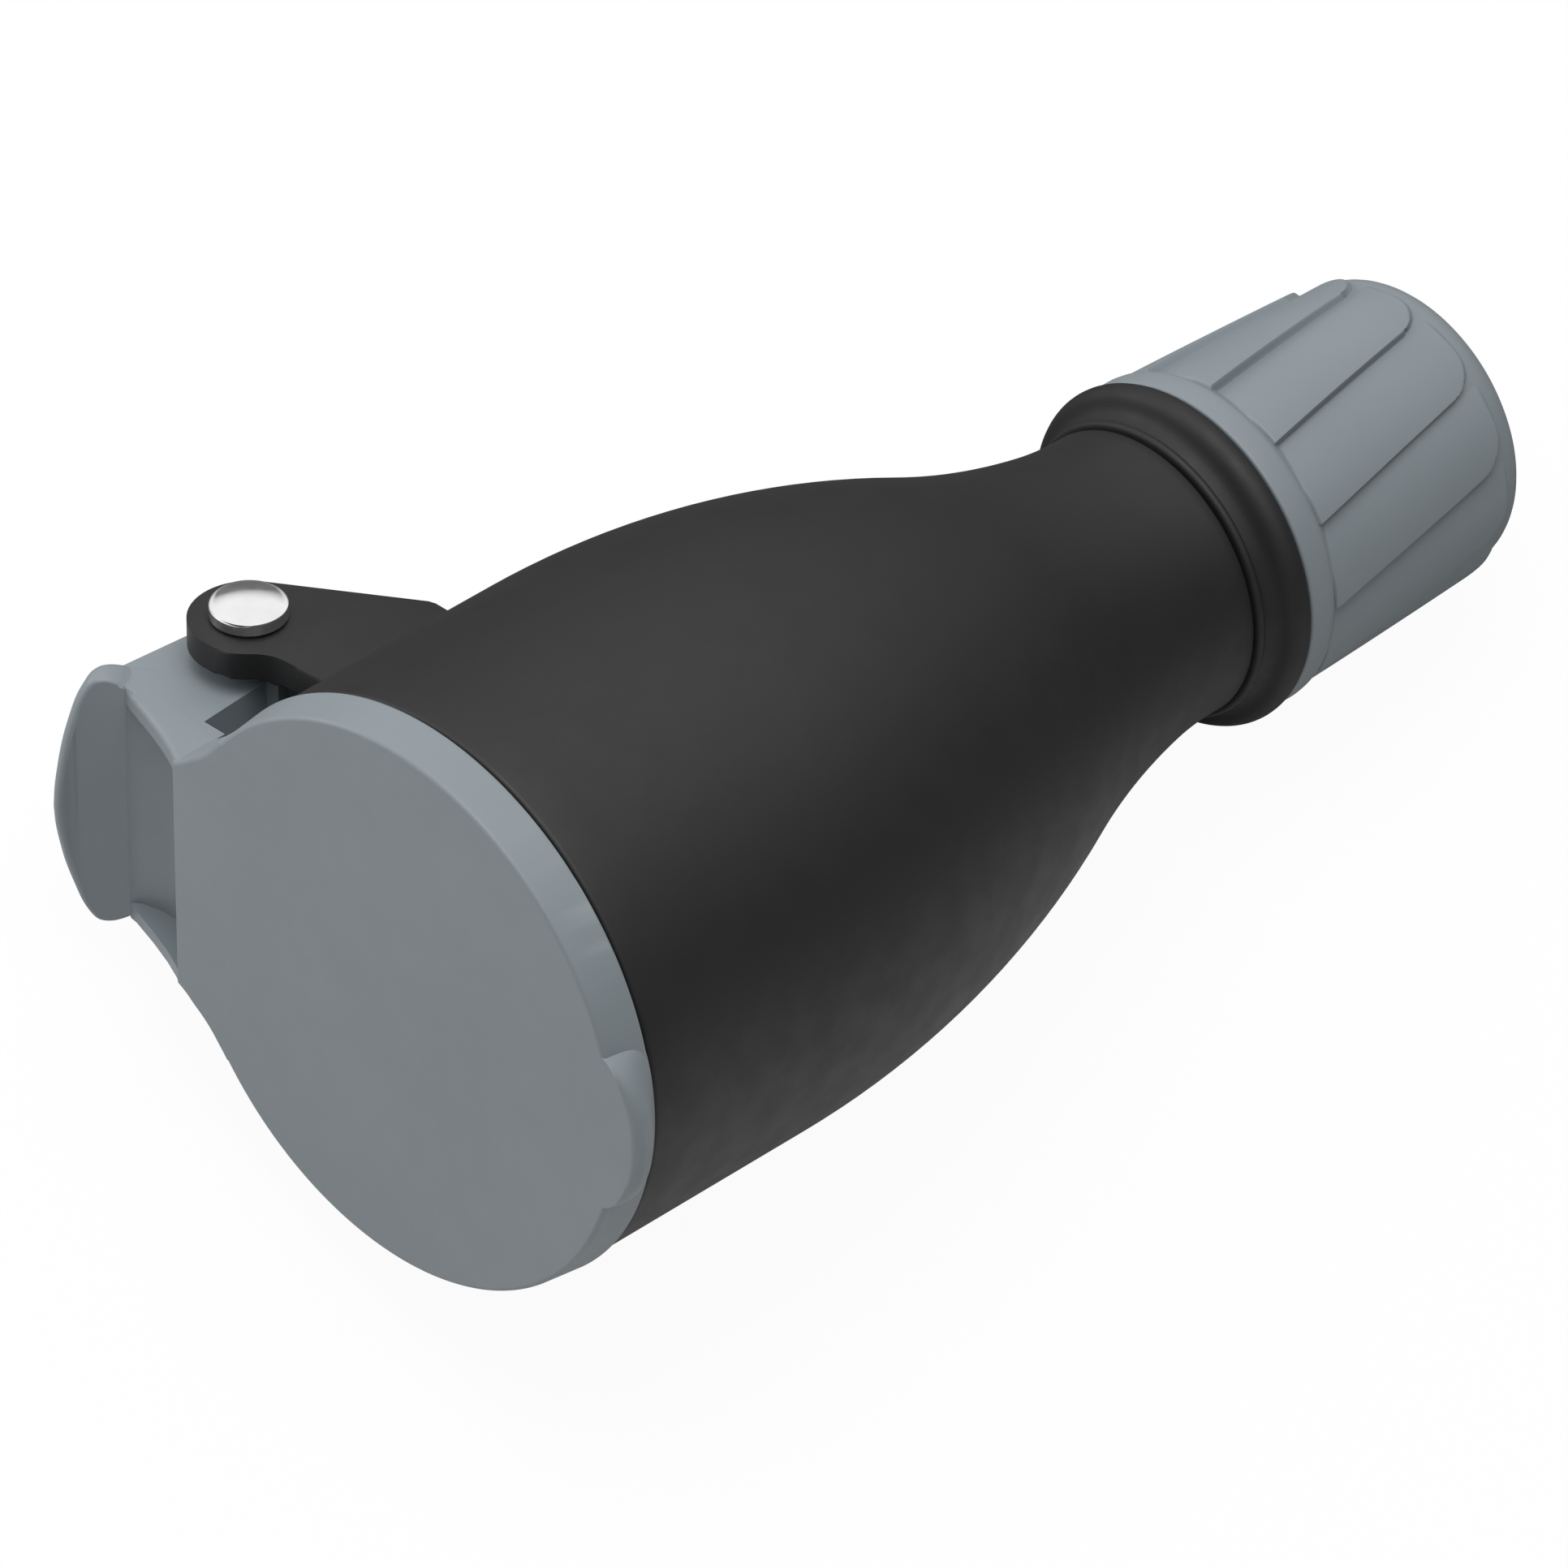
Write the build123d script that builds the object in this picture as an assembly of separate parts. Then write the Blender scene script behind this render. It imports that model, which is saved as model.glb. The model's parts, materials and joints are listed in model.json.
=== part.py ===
from build123d import *
from math import radians, degrees, sin, cos, tan, asin, acos, atan2, hypot
import copy
import os

# All sizes are in mm. Every piece is first made with the long axis along +Y, from the lid's
# face at y = 0 to the nut's end, and the rivet upright along +Z on the -X side. The last
# section lays the whole coupler down the way it rests.

# Housing
barrel_radius = 27.1
barrel_end = 30.0
shoulder_radius = 98.0
shoulder_angle = 23.5
flare_radius = 68.8
flare_angle = 10.0
neck_blend_radius = 33.5
neck_end = 91.6
rubber_wall = 3.0
rim_round = 0.5

# Profile of the housing, from arcs that meet smoothly
shoulder_x = barrel_radius - shoulder_radius
flare_x = shoulder_x + (shoulder_radius + flare_radius) * cos(radians(shoulder_angle))
flare_y = barrel_end + (shoulder_radius + flare_radius) * sin(radians(shoulder_angle))
blend_x = flare_x - (flare_radius - neck_blend_radius) * cos(radians(flare_angle))
blend_y = flare_y - (flare_radius - neck_blend_radius) * sin(radians(flare_angle))
neck_radius = blend_x - neck_blend_radius

# Lid
lid_face_radius = barrel_radius - 0.1
lid_rim_radius = barrel_radius + 0.33
lid_depth = 4.41
lid_plate = 2.2
lid_wall = 2.0
lid_edge = 0.45
part_gap = 0.3
tab_reach = 30.4
tab_half_width = 7.2

# Hinge
pin_x = -(barrel_radius + 5.7)
pin_y = 14.6
pin_radius = 1.6
pin_play = 0.06
ear_top = 17.0
ear_thickness = 2.7
ear_radius = 5.4
ear_slope = 34.4
ear_front = 12.3
ear_back = 27.3
ear_corner_x = pin_x + 8.3
ear_root_x = pin_x + 13.84
web_outer_x = pin_x + 6.2
web_foot_z = 9.0
rivet_head_radius = 3.3
rivet_edge = 1.3
rivet_dome = 0.6
rivet_tail = 1.1
washer_thickness = 0.7
block_half = 12.3
block_outer = pin_x - 6.5
block_inner = pin_x + 6.4
block_root_x = pin_x + 8.3
knuckle_radius = 5.3
spring_gap_half = 5.3
pocket_half = 10.65
pocket_depth = 5.4
pocket_front = pin_x + 5.6
valley_x = pin_x - 4.2
valley_y = 4.8
paddle_half = 13.6
spring_coil = 2.9
spring_wire = 0.5
spring_turns = 5

# Socket insert
insert_front = 5.0
insert_radius = barrel_radius - rubber_wall - 0.1
recess_wall = 2.0
recess_radius = insert_radius - recess_wall - 2.5
recess_depth = 17.8
floor_thickness = 3.2
insert_flange = 2.5
pin_spacing = 19.0
pin_hole_radius = 2.6
guide_width = 5.0
guide_rise = 1.4

# Contact carrier and contacts
carrier_radius = insert_radius - 1.5
carrier_end = 44.0
carrier_plate = 3.5
carrier_skirt = 1.6
sleeve_radius = 3.3
sleeve_bore = 2.45
terminal_front = 35.0
terminal_end = 42.4
wire_hole = 1.9
earth_width = 7.0
earth_thickness = 0.8
earth_block_start = 8.0
earth_block_end = 14.6
earth_block_half = 3.4
clip_reach = recess_radius - 2.9
screw_radius = 1.6
screw_head_radius = 2.7
screw_head = 2.2

# Gland
sleeve_outer = neck_radius - rubber_wall
sleeve_start = 78.0
gland_bore = sleeve_outer - 2.6
collar_radius = neck_radius + 2.6
collar_end = 96.2
thread_radius = collar_radius - 4.0
thread_end = 110.0
thread_play = 0.08
seal_radius = gland_bore - 0.1
seal_length = 4.0
cable_radius = 5.5
cage_radius = thread_radius - 2.8
cage_fingers = 10

# Nut
nut_front = 96.5
nut_flange_radius = collar_radius - 0.3
nut_flange_end = 99.2
flute_start = 100.1
flute_end = 121.6
flute_measured = 102.0
flutes = 12
ridge_radius = nut_flange_radius - 0.25
ridge_taper = 0.05
flute_step = 0.85
flute_step_angle = 2.6
flute_twist = 0.65
flute_first = -1.25
flute_corner = 2.6
nut_tip_radius = ridge_radius - 1.75
nut_end = 126.3
nut_end_round = 2.7
nut_bore = 7.5
thread_pitch = 1.5


def turned(*points):
    """A ring turned about the long axis from points of (radius, y)."""
    return revolve(make_face(Polyline(*points, close=True)), axis=Axis.Y)


def rod(radius, start, end, x=0.0, z=0.0):
    """A cylinder along the long axis."""
    return Pos(x, (start + end) / 2, z) * (Rot(90, 0, 0) * Cylinder(radius, end - start))


def post(radius, low, high, x, y):
    """A cylinder along the rivet's direction."""
    return Pos(x, y, (low + high) / 2) * Cylinder(radius, high - low)


def bolt(radius, start, end, y, z):
    """A cylinder across the coupler, along X."""
    return Pos((start + end) / 2, y, z) * (Rot(0, 90, 0) * Cylinder(radius, abs(end - start)))


def block(x0, x1, y0, y1, z0, z1):
    """A box between two corners."""
    return Pos((x0 + x1) / 2, (y0 + y1) / 2, (z0 + z1) / 2) * Box(x1 - x0, y1 - y0, z1 - z0)


def slab(outline, low, high):
    """An outline in X and Y, raised from low to high."""
    return Pos(0, 0, low) * extrude(make_face(outline), high - low, dir=(0, 0, 1))


def both_sides(shape):
    """A shape and its mirror image below the middle plane."""
    return shape + mirror(shape, about=Plane.XY)


def on_shoulder(angle, inset=0.0):
    reach = shoulder_radius - inset
    return (shoulder_x + reach * cos(radians(angle)), barrel_end + reach * sin(radians(angle)))


def on_flare(angle, inset=0.0):
    reach = flare_radius + inset
    return (flare_x - reach * cos(radians(angle)), flare_y - reach * sin(radians(angle)))


def on_blend(angle):
    return (blend_x - neck_blend_radius * cos(radians(angle)), blend_y - neck_blend_radius * sin(radians(angle)))


def housing_outside():
    front = lid_depth + part_gap
    outline = Polyline((0, front), (barrel_radius - rim_round, front))
    outline += ThreePointArc((barrel_radius - rim_round, front),
                             (barrel_radius - 0.3 * rim_round, front + 0.3 * rim_round),
                             (barrel_radius, front + rim_round))
    outline += Line((barrel_radius, front + rim_round), (barrel_radius, barrel_end))
    outline += ThreePointArc(on_shoulder(0), on_shoulder(shoulder_angle / 2), on_shoulder(shoulder_angle))
    outline += ThreePointArc(on_flare(shoulder_angle), on_flare((shoulder_angle + flare_angle) / 2),
                             on_flare(flare_angle))
    outline += ThreePointArc(on_blend(flare_angle), on_blend(flare_angle / 2), on_blend(0))
    outline += Polyline(on_blend(0), (neck_radius, neck_end - 0.4), (neck_radius - 0.4, neck_end),
                        (0, neck_end), (0, front))
    return revolve(make_face(outline), axis=Axis.Y)


def housing_inside():
    seat = insert_seat_y()
    chamber_radius = carrier_radius - 2.0
    chamber_angle = degrees(acos((chamber_radius - shoulder_x) / (shoulder_radius - rubber_wall)))
    flare_end = degrees(asin((flare_y - sleeve_start) / (flare_radius + rubber_wall)))
    outline = Polyline((0, 0), (insert_radius, 0), (insert_radius, seat), (carrier_radius, seat),
                       (carrier_radius, carrier_end), (chamber_radius, carrier_end),
                       on_shoulder(chamber_angle, rubber_wall))
    outline += ThreePointArc(on_shoulder(chamber_angle, rubber_wall),
                             on_shoulder((chamber_angle + shoulder_angle) / 2, rubber_wall),
                             on_shoulder(shoulder_angle, rubber_wall))
    outline += ThreePointArc(on_flare(shoulder_angle, rubber_wall),
                             on_flare((shoulder_angle + flare_end) / 2, rubber_wall),
                             on_flare(flare_end, rubber_wall))
    outline += Polyline(on_flare(flare_end, rubber_wall), (sleeve_outer, sleeve_start),
                        (sleeve_outer, neck_end + 1), (0, neck_end + 1), (0, 0))
    return revolve(make_face(outline), axis=Axis.Y)


def insert_seat_y():
    return insert_front + recess_depth + floor_thickness


def sleeve_rib():
    """The rib that holds the gland body in the rubber neck."""
    return turned((sleeve_outer - 1, sleeve_start + 2), (sleeve_outer, sleeve_start + 2),
                  (sleeve_outer + 0.8, sleeve_start + 3.6), (sleeve_outer, sleeve_start + 4.0),
                  (sleeve_outer - 1, sleeve_start + 4.0))


def retaining_bead():
    """The bead in the housing's bore that the insert snaps behind."""
    middle = insert_front + insert_flange + 4
    return turned((insert_radius + 0.5, middle - 1.6), (insert_radius, middle - 1.6),
                  (insert_radius - 1.0, middle - 0.5), (insert_radius - 1.0, middle + 0.5),
                  (insert_radius, middle + 1.6), (insert_radius + 0.5, middle + 1.6))


def make_housing():
    slope = radians(ear_slope)
    touch = (pin_x - ear_radius * sin(slope), pin_y + ear_radius * cos(slope))
    corner = (ear_corner_x, touch[1] + (ear_corner_x - touch[0]) * tan(slope))
    inner_x = ear_root_x
    top = (pin_x, pin_y - ear_radius)
    side = (pin_x - ear_radius * cos(radians(20)), pin_y - ear_radius * sin(radians(20)))
    outline = ThreePointArc(touch, side, top)
    outline += Spline(top, (pin_x + 3.7, pin_y - 4.2), (pin_x + 6.3, pin_y - 2.45), (inner_x - 5.4, ear_front),
                      tangents=[(1, 0), (1, 0)])
    outline += Polyline((inner_x - 5.4, ear_front), (inner_x, ear_front), (inner_x, ear_back),
                        (corner[0] + 1.2, ear_back), corner, touch)
    ear = slab(outline, ear_top - ear_thickness, ear_top)
    # Web under the ear's root
    web_face = make_face(Polyline((web_outer_x, ear_top - 1), (inner_x, ear_top - 1), (inner_x, web_foot_z),
                                  (web_outer_x + 1.8, web_foot_z + 1.6), close=True))
    web = extrude(Plane.XZ * web_face, -(ear_back - ear_front - 0.8), dir=(0, -1, 0))
    web = Pos(0, ear_front + 0.4, 0) * web
    body = housing_outside() + both_sides(ear + web)
    body -= housing_inside()
    body += retaining_bead()
    body -= sleeve_rib()
    for side_sign in (1, -1):
        low, high = sorted((side_sign * (ear_top - ear_thickness - 1), side_sign * (ear_top + 1)))
        body -= post(pin_radius, low, high, pin_x, pin_y)
    return body


def lid_disc():
    outline = Polyline((0, lid_plate), (0, 0), (lid_face_radius - lid_edge, 0))
    outline += ThreePointArc((lid_face_radius - lid_edge, 0),
                             (lid_face_radius - 0.3 * lid_edge, 0.3 * lid_edge),
                             (lid_face_radius + 0.04, lid_edge))
    outline += Polyline((lid_face_radius + 0.04, lid_edge), (lid_rim_radius, lid_depth - 0.3),
                        (lid_rim_radius - 0.3, lid_depth), (lid_rim_radius - lid_wall, lid_depth),
                        (lid_rim_radius - lid_wall, lid_plate), (0, lid_plate))
    return revolve(make_face(outline), axis=Axis.Y)


def lid_tab():
    """The nose on the rim that a finger lifts."""
    root = lid_face_radius - 1.0
    faces = []
    for y, reach in ((0.0, tab_reach), (lid_depth, lid_rim_radius + 0.02)):
        edge = ThreePointArc((root, y, tab_half_width), (reach, y, 0), (root, y, -tab_half_width))
        edge += Line((root, y, -tab_half_width), (root, y, tab_half_width))
        faces.append(make_face(edge))
    return loft(faces)


def lid_neck():
    """The web between the disc and the hinge block, with its two hollow flanks."""
    flank = ((0.815, 0.585), (0.861, 0.531), (0.898, 0.502), (0.935, 0.478), (0.974, 0.460))
    outer = [(-lid_face_radius * x, lid_face_radius * z) for x, z in flank] + [(pocket_front, block_half - 0.1)]
    root = (-lid_face_radius * 0.73, lid_face_radius * 0.65)
    upper = Line(root, outer[0]) + Spline(*outer)
    lower = [(x, -z) for x, z in outer[::-1]]
    outline = upper + Line(outer[-1], lower[0]) + Spline(*lower)
    outline += Polyline(lower[-1], (root[0], -root[1]), root)
    flat = Plane(origin=(0, 0, 0), x_dir=(1, 0, 0), z_dir=(0, -1, 0)) * make_face(outline)
    return extrude(flat, lid_depth, dir=(0, 1, 0))


def paddle():
    """The curved plate that a thumb presses, longer than the block and rounded at its ends."""
    # Places are measured from the valley between pocket and paddle
    inner = [(0.0, 0.0), (-1.5, -1.25), (-2.75, -2.6), (-3.65, -3.9), (-4.0, -4.9)]
    outer = [(-4.85, -5.0), (-4.98, -3.9), (-4.6, -2.75), (-3.85, -1.3), (-3.05, 0.4), (-2.35, 2.1)]
    near = [(valley_x + x, valley_y + y) for x, y in inner]
    far = [(valley_x + x, valley_y + y) for x, y in outer]
    section = Spline(*near)
    section += ThreePointArc(near[-1], (valley_x - 4.5, valley_y - 5.4), far[0])
    section += Spline(*far)
    section += Polyline(far[-1], (valley_x + 0.6, far[-1][1]), near[0])
    plate = slab(section, -paddle_half, paddle_half)
    # Its outline from outside: a shallow arc with round corners
    edge = [(-5.4, 0.0), (-5.05, 4.0), (-3.95, 7.8), (-2.85, 11.2), (-2.3, 12.8), (-1.3, paddle_half - 0.1),
            (0.2, paddle_half - 0.4), (1.4, block_half)]
    half = [(valley_y + y, z) for y, z in edge]
    both = [(y, -z) for y, z in half[:0:-1]] + half
    face = Spline(*both) + Polyline(both[-1], (pin_y, block_half), (pin_y, -block_half), both[0])
    window = extrude(Plane(origin=(valley_x - 9, 0, 0), x_dir=(0, 1, 0), z_dir=(1, 0, 0)) * make_face(face), 12)
    return plate & window


def lid_block():
    """The hinge block: pocket, paddle, side walls and two knuckles."""
    sides = Polyline((block_root_x, 0.05), (pocket_front, 0.05), (pocket_front - 0.5, 1.3),
                     (pocket_front - 2.6, 2.3), (valley_x + 0.3, valley_y - 0.8), (valley_x - 0.6, valley_y - 0.5),
                     (block_outer, pocket_depth + 1.5), (block_outer, pin_y), (block_inner, pin_y - 0.7),
                     (block_inner, lid_depth), (block_root_x, lid_depth), close=True)
    shape = slab(sides, -block_half, block_half)
    shape += post(knuckle_radius, -block_half, block_half, pin_x, pin_y)
    # Room for the housing behind the lid
    shape -= rod(barrel_radius + 0.4, lid_depth, pin_y + 20)
    # Thumb pocket, open to the front
    hollow = Polyline((valley_x, -3), (pocket_front, -3), (pocket_front, pocket_depth), (valley_x + 2.5, pocket_depth),
                      (valley_x, valley_y), close=True)
    shape -= slab(hollow, -pocket_half, pocket_half)
    shape += paddle()
    # Room for the spring between the knuckles
    shape -= block(block_outer + 1.3, pin_x + 12.8, pocket_depth + 1.8, pin_y + 8, -spring_gap_half, spring_gap_half)
    # Steps beside the disc, in the top and the bottom of the block
    step = block(pin_x + 4.1, pin_x + 8.8, pocket_depth + 0.1, pin_y - 0.7, block_half - 2.2, block_half + 1)
    shape -= both_sides(step)
    return shape


def make_lid():
    seat = rod(lid_rim_radius - lid_wall, lid_plate, lid_depth + 1)
    shape = lid_disc() + (lid_tab() + lid_neck() + lid_block() - seat)
    shape += post(knuckle_radius - 0.7, block_half - 1, ear_top - ear_thickness - part_gap, pin_x, pin_y)
    shape += post(knuckle_radius - 0.7, -(ear_top - ear_thickness - part_gap), 1 - block_half, pin_x, pin_y)
    # Wall that holds the seal
    seal_in = lid_rim_radius - lid_wall - 2.8
    shape += turned((seal_in - 1.2, lid_plate - 0.5), (seal_in, lid_plate - 0.5), (seal_in, lid_depth - 0.6),
                    (seal_in - 1.2, lid_depth - 0.6))
    shape -= post(pin_radius + pin_play, -ear_top, ear_top, pin_x, pin_y)
    return shape


def make_lid_seal():
    outer = lid_rim_radius - lid_wall
    inner = outer - 2.8
    face = lid_depth + part_gap - 0.05
    return turned((inner, lid_plate), (outer, lid_plate), (outer, face - 0.6), (outer - 0.5, face),
                  (outer - 1.2, face), (inner, lid_depth - 0.6))


def dome_middle(width, height):
    """Middle point, out and up, of an arc that ends square on the axis."""
    radius = (width ** 2 + height ** 2) / (2 * height)
    half = asin(width / radius) / 2
    return radius * sin(half), height - radius * (1 - cos(half))


def make_rivet():
    low = -ear_top - washer_thickness
    edge = ear_top + rivet_edge
    tail_radius = rivet_head_radius - 0.8
    out, up = dome_middle(rivet_head_radius - 0.25, rivet_dome)
    profile = ThreePointArc((rivet_head_radius - 0.25, edge), (out, edge + up), (0, edge + rivet_dome))
    profile += Line((0, edge + rivet_dome), (0, low - rivet_tail))
    out, up = dome_middle(tail_radius, rivet_tail)
    profile += ThreePointArc((0, low - rivet_tail), (out, low - up), (tail_radius, low))
    profile += Polyline((tail_radius, low), (pin_radius, low), (pin_radius, ear_top), (rivet_head_radius, ear_top),
                        (rivet_head_radius, edge - 0.25), (rivet_head_radius - 0.25, edge))
    return Pos(pin_x, pin_y, 0) * revolve(Plane.XZ * make_face(profile), axis=Axis.Z)


def make_rivet_washer():
    low = -ear_top - washer_thickness
    return post(rivet_head_radius, low, -ear_top, pin_x, pin_y) - post(pin_radius, low - 1, 0, pin_x, pin_y)


def make_spring():
    height = spring_turns * 1.55
    coil = Helix(pitch=1.55, height=height, radius=spring_coil)
    start = coil @ 0
    wire = sweep(Plane(origin=start, z_dir=coil % 0) * Circle(spring_wire), path=coil, is_frenet=True)
    wire = Pos(pin_x, pin_y, -height / 2) * wire
    reach = pin_y - pocket_depth - 1.8 - spring_wire
    lid_leg = rod(spring_wire, pin_y - reach, pin_y, pin_x + spring_coil, height / 2)
    rest_y = pin_y + 8.5
    angle = atan2(1.75, rest_y - pin_y)
    body_leg = Pos(pin_x + spring_coil, pin_y, -height / 2) * (
        Rot(0, 0, -degrees(angle)) * rod(spring_wire, 0, rest_y - pin_y))
    return wire + lid_leg + body_leg


def earth_slot(side):
    """Room for one earth clip in the wall and floor of the recess."""
    x0, x1 = sorted((side * (clip_reach + 0.4), side * (recess_radius + 0.6)))
    half = earth_width / 2 + 0.2
    return block(x0, x1, insert_front + 2.4, insert_seat_y() + 1, -half, half)


def make_socket_insert():
    seat = insert_seat_y()
    floor_y = insert_front + recess_depth
    flange_back = insert_front + insert_flange
    shape = turned((0, floor_y), (recess_radius, floor_y), (recess_radius, insert_front + 0.6),
                   (recess_radius + 0.6, insert_front), (insert_radius, insert_front), (insert_radius, flange_back),
                   (recess_radius + recess_wall, flange_back + 0.8), (recess_radius + recess_wall, seat - 2.2),
                   (insert_radius, seat - 2.2), (insert_radius, seat), (0, seat))
    for side in (1, -1):
        z0, z1 = sorted((side * (recess_radius - guide_rise), side * (recess_radius + 0.5)))
        shape += block(-guide_width / 2, guide_width / 2, insert_front + 1.2, floor_y + 0.5, z0, z1)
        shape -= rod(pin_hole_radius, floor_y - 1, seat + 1, 0, side * pin_spacing / 2)
        shape -= earth_slot(side)
        shape -= rod(1.2, floor_y + 0.8, seat + 1, side * 11.5, side * 13.5)
    return shape


def terminal_x(side):
    """The live terminals sit beside their sleeves, towards the hinge."""
    return -7.6


def make_carrier():
    seat = insert_seat_y()
    shape = turned((0, seat), (carrier_radius, seat), (carrier_radius, carrier_end),
                   (carrier_radius - carrier_skirt, carrier_end), (carrier_radius - carrier_skirt, seat + carrier_plate),
                   (0, seat + carrier_plate))
    half = pin_spacing / 2
    for side in (1, -1):
        z = side * half
        shape += block(-13.2, 5.0, seat + 1, carrier_end - 0.2, z - 5.2, z + 5.2)
    shape += block(6.2, 16.0, seat + 1, carrier_end - 0.2, -5.0, 5.0)
    for side in (1, -1):
        z = side * half
        shape -= rod(sleeve_radius, seat - 1, terminal_end, 0, z)
        shape -= block(-11.8, 0, seat - 1, terminal_end, z - 3.5, z + 3.5)
        shape -= rod(wire_hole + 0.3, terminal_end - 1, carrier_end + 1, terminal_x(side), z)
        shape -= bolt(screw_head_radius + 0.3, -25, -10, (terminal_front + terminal_end) / 2, z)
        shape -= rod(screw_radius, seat - 1, carrier_end, side * 11.5, side * 13.5)
        shape -= rod(screw_head_radius, seat + carrier_plate, carrier_end + 1, side * 11.5, side * 13.5)
    shape -= block(earth_block_start, earth_block_end, seat - 1, terminal_end,
                   -earth_block_half - 0.1, earth_block_half + 0.1)
    shape -= rod(wire_hole + 0.3, terminal_end - 1, carrier_end + 1, 11.0, 0)
    shape -= bolt(screw_head_radius + 0.3, 12, 25, (terminal_front + terminal_end) / 2, 0)
    # Groove for the earth strip
    shape -= block(-carrier_radius + 2.2, carrier_radius - 2.2, seat - 1, seat + earth_thickness,
                   -earth_width / 2, earth_width / 2)
    return shape


def make_live_contact(side):
    z = side * pin_spacing / 2
    seat = insert_seat_y()
    middle = (terminal_front + terminal_end) / 2
    sleeve = rod(sleeve_radius, seat, terminal_end, 0, z) - rod(sleeve_bore, seat - 1, terminal_end + 1, 0, z)
    body = block(-11.8, -2.6, terminal_front, terminal_end, z - 3.5, z + 3.5)
    body -= rod(wire_hole, terminal_front - 1, terminal_end + 1, terminal_x(side), z)
    body -= bolt(screw_radius, -14, terminal_x(side), middle, z)
    body -= rod(sleeve_bore, terminal_front - 1, terminal_end + 1, 0, z)
    shape = sleeve + body
    shape -= block(-0.4, 0.4, seat - 1, terminal_front - 3, z + side * 1.0 - 4, z + side * 1.0 + 4)
    return shape


def make_earth_bracket():
    seat = insert_seat_y()
    y0 = seat
    y1 = seat + earth_thickness
    outer = recess_radius - 0.15
    half = earth_width / 2
    strip = block(-outer, outer, y0, y1, -half, half)
    tongue = block(earth_block_start, earth_block_end, y0, y1, -earth_block_half, earth_block_half)
    shape = strip + tongue
    for side in (1, -1):
        bow = Polyline((side * outer, y1), (side * outer, seat - 6.0), (side * clip_reach, insert_front + 8.0),
                       (side * outer, insert_front + 3.0), (side * (outer - earth_thickness), insert_front + 3.0),
                       (side * (clip_reach - earth_thickness), insert_front + 8.0),
                       (side * (outer - earth_thickness), seat - 6.0), (side * (outer - earth_thickness), y1),
                       close=True)
        shape += slab(bow, -half + 0.2, half - 0.2)
    return shape


def make_earth_terminal():
    seat = insert_seat_y()
    middle = (terminal_front + terminal_end) / 2
    body = block(earth_block_start, earth_block_end, seat + earth_thickness, terminal_end,
                 -earth_block_half, earth_block_half)
    body -= rod(wire_hole, terminal_front - 4, terminal_end + 1, 11.0, 0)
    body -= bolt(screw_radius, 11.0, 16, middle, 0)
    return body


def terminal_screw(tip, direction, y, z):
    """A slotted clamp screw from its tip outwards along X."""
    head_start = tip + direction * 3.6
    shape = bolt(screw_radius, tip, head_start, y, z)
    head = bolt(screw_head_radius, head_start, head_start + direction * screw_head, y, z)
    x0, x1 = sorted((head_start + direction * (screw_head - 1.0), head_start + direction * (screw_head + 1)))
    head -= block(x0, x1, y - 0.4, y + 0.4, z - 4, z + 4)
    return shape + head


def make_terminal_screws():
    middle = (terminal_front + terminal_end) / 2
    screws = []
    for side in (1, -1):
        screws.append(terminal_screw(terminal_x(side) - wire_hole - 0.9, -1, middle, side * pin_spacing / 2))
    screws.append(terminal_screw(11.0 + 0.6, 1, middle, 0))
    return screws


def make_carrier_screws():
    seat = insert_seat_y()
    top = seat + carrier_plate
    screws = []
    for side in (1, -1):
        x, z = side * 11.5, side * 13.5
        screw = rod(1.2, insert_front + recess_depth + 0.8, top, x, z)
        head = rod(screw_head_radius - 0.3, top, top + 1.8, x, z)
        head -= block(x - 0.4, x + 0.4, top + 1.0, top + 2.5, z - 4, z + 4)
        screws.append(screw + head)
    return screws


def make_gland_body():
    flank = 93.8
    outline = Polyline((gland_bore, sleeve_start + 0.6), (sleeve_outer - 0.6, sleeve_start), (sleeve_outer, sleeve_start + 0.8),
                       (sleeve_outer, neck_end + 0.15), (neck_radius + 0.1, neck_end + 0.15))
    outline += ThreePointArc((neck_radius + 0.1, neck_end + 0.15), (neck_radius + 0.5, neck_end + 0.5),
                             (neck_radius + 0.2, neck_end + 0.95))
    outline += ThreePointArc((neck_radius + 0.2, neck_end + 0.95), (neck_radius + 0.55, 93.2), (neck_radius + 1.2, flank))
    outline += ThreePointArc((neck_radius + 1.2, flank), (collar_radius, 95.1), (collar_radius - 0.25, collar_end))
    outline += Polyline((collar_radius - 0.25, collar_end), (thread_radius - 0.9, collar_end),
                        (thread_radius - 0.9, collar_end + 3.2), (thread_radius, collar_end + 3.2),
                        (thread_radius, thread_end - 0.8), (thread_radius - 0.8, thread_end),
                        (cage_radius + 0.9, thread_end), (cage_radius + 0.9, thread_end - seal_length),
                        (gland_bore, thread_end - seal_length), (gland_bore, sleeve_start + 0.6))
    return revolve(make_face(outline), axis=Axis.Y) + sleeve_rib()


def make_o_ring():
    middle = collar_end + 1.6
    centre = thread_radius + 0.25
    ring = Location((centre, middle, 0)) * Circle(1.15)
    return revolve(ring, axis=Axis.Y)


def make_cage():
    """Ring and fingers that the nut's cone squeezes."""
    back = 119.4
    shape = turned((seal_radius, thread_end - seal_length), (cage_radius + 0.9, thread_end - seal_length), (cage_radius + 0.9, thread_end),
                   (cage_radius + 1.6, thread_end), (cage_radius + 1.6, thread_end + 1.2),
                   (cage_radius + 1.1, thread_end + 2.4), (cage_radius + 0.2, back), (seal_radius, back))
    slot = block(seal_radius - 1, cage_radius + 4, thread_end + 2.6, back + 1, -0.5, 0.5)
    for index in range(cage_fingers):
        shape -= Rot(0, index * 360 / cage_fingers, 0) * slot
    return shape


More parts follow.
